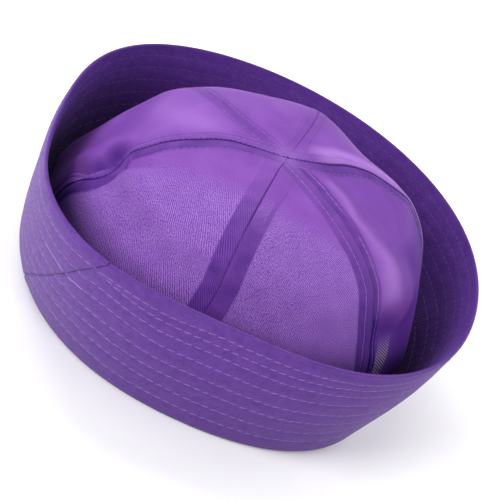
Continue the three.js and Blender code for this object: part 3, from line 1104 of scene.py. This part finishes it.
def twill(material, pitch, place):
    """Broken slanting lines of a twill weave: bands at 45 degrees with a pitch in mm, and a noise stretched
    along them. Gives back the lines, the noise and the bands, each about 0 to 1."""
    turned = add_node(material, "Mapping", inputs={"Vector": place, "Rotation": (0, 0, np.radians(45))})
    inputs = {"Vector": turned, "Scale": 2 * np.pi / (20 * pitch), "Distortion": 1.2}
    inputs.update({"Detail": 1.5, "Detail Scale": 1.5})
    bands = add_node(
        material, "TexWave", inputs=inputs, output="Fac", wave_type="BANDS", bands_direction="Y"
    )
    long = add_node(material, "Mapping", inputs={"Vector": turned, "Scale": (0.55, 1.0, 1.0)})
    inputs = {"Vector": long, "Scale": 2.0 / pitch, "Detail": 2.0, "Roughness": 0.75}
    grain = add_node(material, "TexNoise", inputs=inputs, output="Fac")
    grain = add_node(material, "MapRange", grain, 0.39, 0.61)
    lines = add_node(material, "Math", bands, 0.4, operation="MULTIPLY")
    lines = add_node(material, "Math", grain, 0.6, lines, operation="MULTIPLY_ADD")
    return lines, grain, bands


def finish_cloth(material, colour, bumps, depth, rough, sheen, gloss):
    """The shader of all cloth and thread: a broad gloss from smooth threads, a pale sheen from the fine
    fibres that stand up, and bumps of a depth in metres."""
    bump = add_node(material, "Bump", inputs={"Height": bumps, "Strength": 1.0, "Distance": depth})
    shader = add_node(material, "BsdfPrincipled", inputs={
        "Base Color": colour, "Normal": bump, "Roughness": rough, "Specular IOR Level": gloss,
        "IOR": 1.45, "Sheen Weight": sheen, "Sheen Roughness": 0.3, "Sheen Tint": "#f6f0fa",
    })
    add_node(material, "OutputMaterial", shader)
    return material


print("a purple in linear light:", [round(part, 3) for part in linear("#602f87")])

# %% [markdown]
# ## The crown's twill
# Single cloth is smooth and a little cloudy, darker where shade is painted and paler where a highlight is
# painted. Where light comes through, its grain shows. The doubled bands beside the seams are painted darker
# as shade, with pale stripes where they are lit, and a dark line of shade lies in each groove. The coats of
# colour are laid one over another, as a painter would.

# %% Patterns of the crown's cloth
TWILL_PITCH = 0.85  # mm; the real lines are finer than a pixel of the picture, so they are drawn coarser
# the bold stripes are painted light, where the most light comes through
COARSE_PITCH = 1.2  # of the bold stripes where the cloth is brightest, low on the right
CLOUD_SCALE = 0.06  # for each mm, so clouds are about 17 mm wide
PATCH_SCALE = 0.11  # and patches about 9 mm
WEAVE_DEPTH = 0.0002  # metres, about the thickness of a fine thread

crown = new_material("crown_cotton_twill_woven")
place = add_node(crown, "UVMap", uv_map="cloth_mm")
doubled, groove, painted_highlight, through, grain, shaded = (
    add_node(crown, "Attribute", output="Fac", attribute_name=name) for name in PANEL_NUMBERS
)
lines, fine, stripes = twill(crown, TWILL_PITCH, place)
around_zero = add_node(crown, "Math", lines, 0.5, operation="SUBTRACT")
clouds, patches = (
    add_node(crown, "TexNoise", inputs={"Vector": place, "Scale": scale, "Detail": detail}, output="Fac")
    for scale, detail in ((CLOUD_SCALE, 4.0), (PATCH_SCALE, 2.0))
)
patches = add_node(crown, "MapRange", patches, 0.3, 0.7)
print("nodes for the patterns:", len(crown.node_tree.nodes))

# %% [markdown]
# ## Single cloth
# The same cloth looks smooth by the light that falls on it, and grainy by the light that comes through it.
# Both looks are made here, to be mixed by how much comes through.

# %% Colours of single cloth
amount = add_node(crown, "Math", around_zero, 0.4, clouds, operation="MULTIPLY_ADD")
smooth = add_node(crown, "Mix", amount, inputs={6: "#602f87", 7: "#7b48a2"}, **COLOURS)
# coats of painted shade where little light reaches, then of painted highlight
dimmed = add_node(crown, "Math", shaded, 0.7, operation="MULTIPLY")
for amount, coat in ((dimmed, "#370a6e"), (painted_highlight, "#9669b8")):
    smooth = add_node(crown, "Mix", amount, inputs={6: smooth, 7: coat}, **COLOURS)

dark_grain = add_node(crown, "Mix", patches, inputs={6: "#3a1169", 7: "#3f1372"}, **COLOURS)
pale_grain = add_node(crown, "Mix", patches, inputs={6: "#9d6bc8", 7: "#a978d2"}, **COLOURS)
amount = add_node(crown, "Math", around_zero, grain, 0.5, operation="MULTIPLY_ADD")
grainy = add_node(crown, "Mix", amount, inputs={6: dark_grain, 7: pale_grain}, **COLOURS)
# bold pale stripes of painted light coming through, low on the right
amount = add_node(crown, "Math", twill(crown, COARSE_PITCH, place)[2], 2.5, operation="POWER")
bold = add_node(crown, "Mix", amount, inputs={6: "#240c4a", 7: "#c0a2d6"}, **COLOURS)
amount = add_node(crown, "Math", grain, 2.0, operation="SUBTRACT")
grainy = add_node(crown, "Mix", amount, inputs={6: grainy, 7: bold}, **COLOURS)
print("nodes with the single cloth:", len(crown.node_tree.nodes))

# %% [markdown]
# ## Doubled cloth and grooves
# Two layers of cloth let less light through, so they look darker and less even. In the groove of a seam
# lies a line of shade, which the bumps alone are too small to make.

# %% Colours beside the seams
single = add_node(crown, "Math", 1.0, doubled, operation="SUBTRACT")
amount = add_node(crown, "Math", through, single, operation="MULTIPLY")
colour = add_node(crown, "Mix", amount, inputs={6: smooth, 7: grainy}, **COLOURS)
# painted shade of the doubled cloth and of its shadow strips, darker where little light reaches
uneven = add_node(crown, "Math", patches, -0.6, 1.3, operation="MULTIPLY_ADD")
shade = add_node(crown, "Math", through, 0.4, 0.34, operation="MULTIPLY_ADD")
shade = add_node(crown, "Math", shaded, 0.3, shade, operation="MULTIPLY_ADD")
for part in (doubled, uneven):
    shade = add_node(crown, "Math", shade, part, operation="MULTIPLY")
soft = add_node(crown, "Math", fine, 0.5, 0.5, operation="MULTIPLY_ADD")
lit_stripes = doubled
for part in (through, stripes, soft, 0.8):
    lit_stripes = add_node(crown, "Math", lit_stripes, part, operation="MULTIPLY")
seam_line_shade = add_node(crown, "MapRange", groove, 0.1, 0.65, 0.0, 0.9)
for amount, coat in ((shade, "#2d0760"), (lit_stripes, "#7845ab"), (seam_line_shade, "#2e0a5e")):
    colour = add_node(crown, "Mix", amount, inputs={6: colour, 7: coat}, **COLOURS)
weave = add_node(crown, "Math", through, 0.75, 0.4, operation="MULTIPLY_ADD")
weave = add_node(crown, "Math", lines, weave, operation="MULTIPLY")
finish_cloth(crown, colour, weave, WEAVE_DEPTH, 0.6, 0.05, 0.15)
for panel in panels:
    panel.data.materials.append(crown)
print("nodes in the crown's material:", len(crown.node_tree.nodes))

# %% [markdown]
# ## The brim's twill and the thread
# The brim is the same cloth pressed flat, so its weave hardly shows. Its inner ply is painted darker as
# shade, most of all low down, where little light gets in, and so is the thread on it. The thread is twisted
# cotton, paler than the cloth around it.

# %% Brim materials and thread
MOTTLE_SCALE = 0.2  # for each mm, so its spots are about 5 mm wide
TWIST_SCALE = 700.0  # for each metre: 1.4 mm, coarser than the real twist, which is too fine to show


def pressed_twill(name, dark, light, painted_deep_shade, sheen, gloss):
    """A fine weave with a cloudy mottle, painted shade low inside, and a dark line along the slanting seam.
    """
    material = new_material(name)
    place = add_node(material, "UVMap", uv_map="cloth_mm")
    lines, _, _ = twill(material, TWILL_PITCH, place)
    inputs = {"Vector": place, "Scale": MOTTLE_SCALE, "Detail": 5.0, "Roughness": 0.75}
    mottle = add_node(material, "TexNoise", inputs=inputs, output="Fac")
    mottle = add_node(material, "Math", mottle, 1.3, -0.47, operation="MULTIPLY_ADD")
    mottle = add_node(material, "Math", lines, 0.75, mottle, operation="MULTIPLY_ADD")
    colour = add_node(material, "Mix", mottle, inputs={6: dark, 7: light}, **COLOURS)
    # painted shade low inside the brim, then the dark line of the slanting seam
    coats = (("share", 0.3, 0.85, 0.75, painted_deep_shade), ("seam_mm", 0.1, 0.36, 1.0, "#16002e"))
    for key, low, high, most, coat in coats:
        amount = add_node(material, "Attribute", output="Fac", attribute_name=key)
        amount = add_node(material, "MapRange", amount, low, high, most, 0.0)
        colour = add_node(material, "Mix", amount, inputs={6: colour, 7: coat}, **COLOURS)
    return finish_cloth(material, colour, lines, WEAVE_DEPTH, 0.8, sheen, gloss)


def thread(name, dark, light):
    """Twisted thread: a fine noise over two tones of one colour, with a soft gloss."""
    material = new_material(name)
    place = add_node(material, "TexCoord", output="Object")
    inputs = {"Vector": place, "Scale": TWIST_SCALE, "Detail": 2.0}
    twist = add_node(material, "TexNoise", inputs=inputs, output="Fac")
    colour = add_node(material, "Mix", twist, inputs={6: dark, 7: light}, **COLOURS)
    return finish_cloth(material, colour, twist, WEAVE_DEPTH / 2, 0.7, 0.1, 0.2)


for piece, material in (
    (brim_outer, pressed_twill("brim_cotton_twill_pressed", "#3d1a67", "#663b95", "#2b0d52", 0.28, 0.25)),
    (brim_inner, pressed_twill("brim_lining_twill_pressed", "#3c1c64", "#5c368b", "#200e33", 0.05, 0.1)),
    (outer_stitches, thread("sewing_thread_worn_pale", "#7a59a2", "#ab8dca")),
    # the same thread as outside, painted darker as shade inside the brim
    (inner_stitches, thread("sewing_thread_in_painted_shade", "#4c3969", "#664d88")),
    (crown_stitches, thread("sewing_thread_rubbed", "#6d4a98", "#9474b8")),
):
    piece.data.materials.append(material)
    print(piece.name, "is made of", material.name)

# %% [markdown]
# ## Floor
# The floor is a large plain sheet of pale paper, as in a photo studio.

# %% Floor
FLOOR_REACH = 4.0  # metres from the middle to each side

corners = [(x * FLOOR_REACH, y * FLOOR_REACH, 0) for x, y in ((-1, -1), (1, -1), (1, 1), (-1, 1))]
floor_mesh = bpy.data.meshes.new("floor")
floor_mesh.from_pydata(corners, [], [(0, 1, 2, 3)])
floor = bpy.data.objects.new("floor", floor_mesh)
bpy.context.scene.collection.objects.link(floor)
floor_paint = bpy.data.materials.new("studio_paper")
floor_paint.use_nodes = True
floor_shader = floor_paint.node_tree.nodes["Principled BSDF"]
floor_shader.inputs["Base Color"].default_value = linear("#f2f2f2")
floor_shader.inputs["Roughness"].default_value = 0.9
floor_mesh.materials.append(floor_paint)
print("floor, metres across:", 2 * FLOOR_REACH)

# %% [markdown]
# ## Light
# Large soft lights stand in a ring round the hat. The strongest is at the front left, so the brim's left
# side and the front of the crown are bright.

# %% Lights
LIGHT_SIZE = 0.9
LIGHT_TARGET = Vector((0, 0, 0.05))
LIGHTS = {
    # place in metres, watts
    "front_left_box": ((-1.0, -1.0, 0.8), 27.0),
    "front_right_box": ((1.0, -1.0, 0.8), 10.5),
    "left_box": ((-1.3, 0.1, 0.9), 5.0),
    "right_box": ((1.3, 0.1, 0.9), 7.0),
    "back_left_box": ((-0.9, 1.0, 1.1), 18.0),
    "back_right_box": ((0.9, 1.0, 1.1), 12.0),
    "back_high_box": ((0.0, 0.9, 1.6), 12.0),
}

for name, (place, watts) in LIGHTS.items():
    lamp = bpy.data.lights.new(name, "AREA")
    lamp.size = LIGHT_SIZE
    lamp.energy = watts
    light = bpy.data.objects.new(name, lamp)
    light.location = place
    light.rotation_mode = "QUATERNION"
    light.rotation_quaternion = (Vector(place) - LIGHT_TARGET).to_track_quat("Z", "Y")
    bpy.context.scene.collection.objects.link(light)
world = bpy.data.worlds.new("studio")
world.use_nodes = True
world.node_tree.nodes["Background"].inputs["Color"].default_value = (1.0, 1.0, 1.0, 1.0)
world.node_tree.nodes["Background"].inputs["Strength"].default_value = 0.05
bpy.context.scene.world = world
bpy.context.scene.view_settings.view_transform = "Standard"
print("soft lights:", len(LIGHTS))
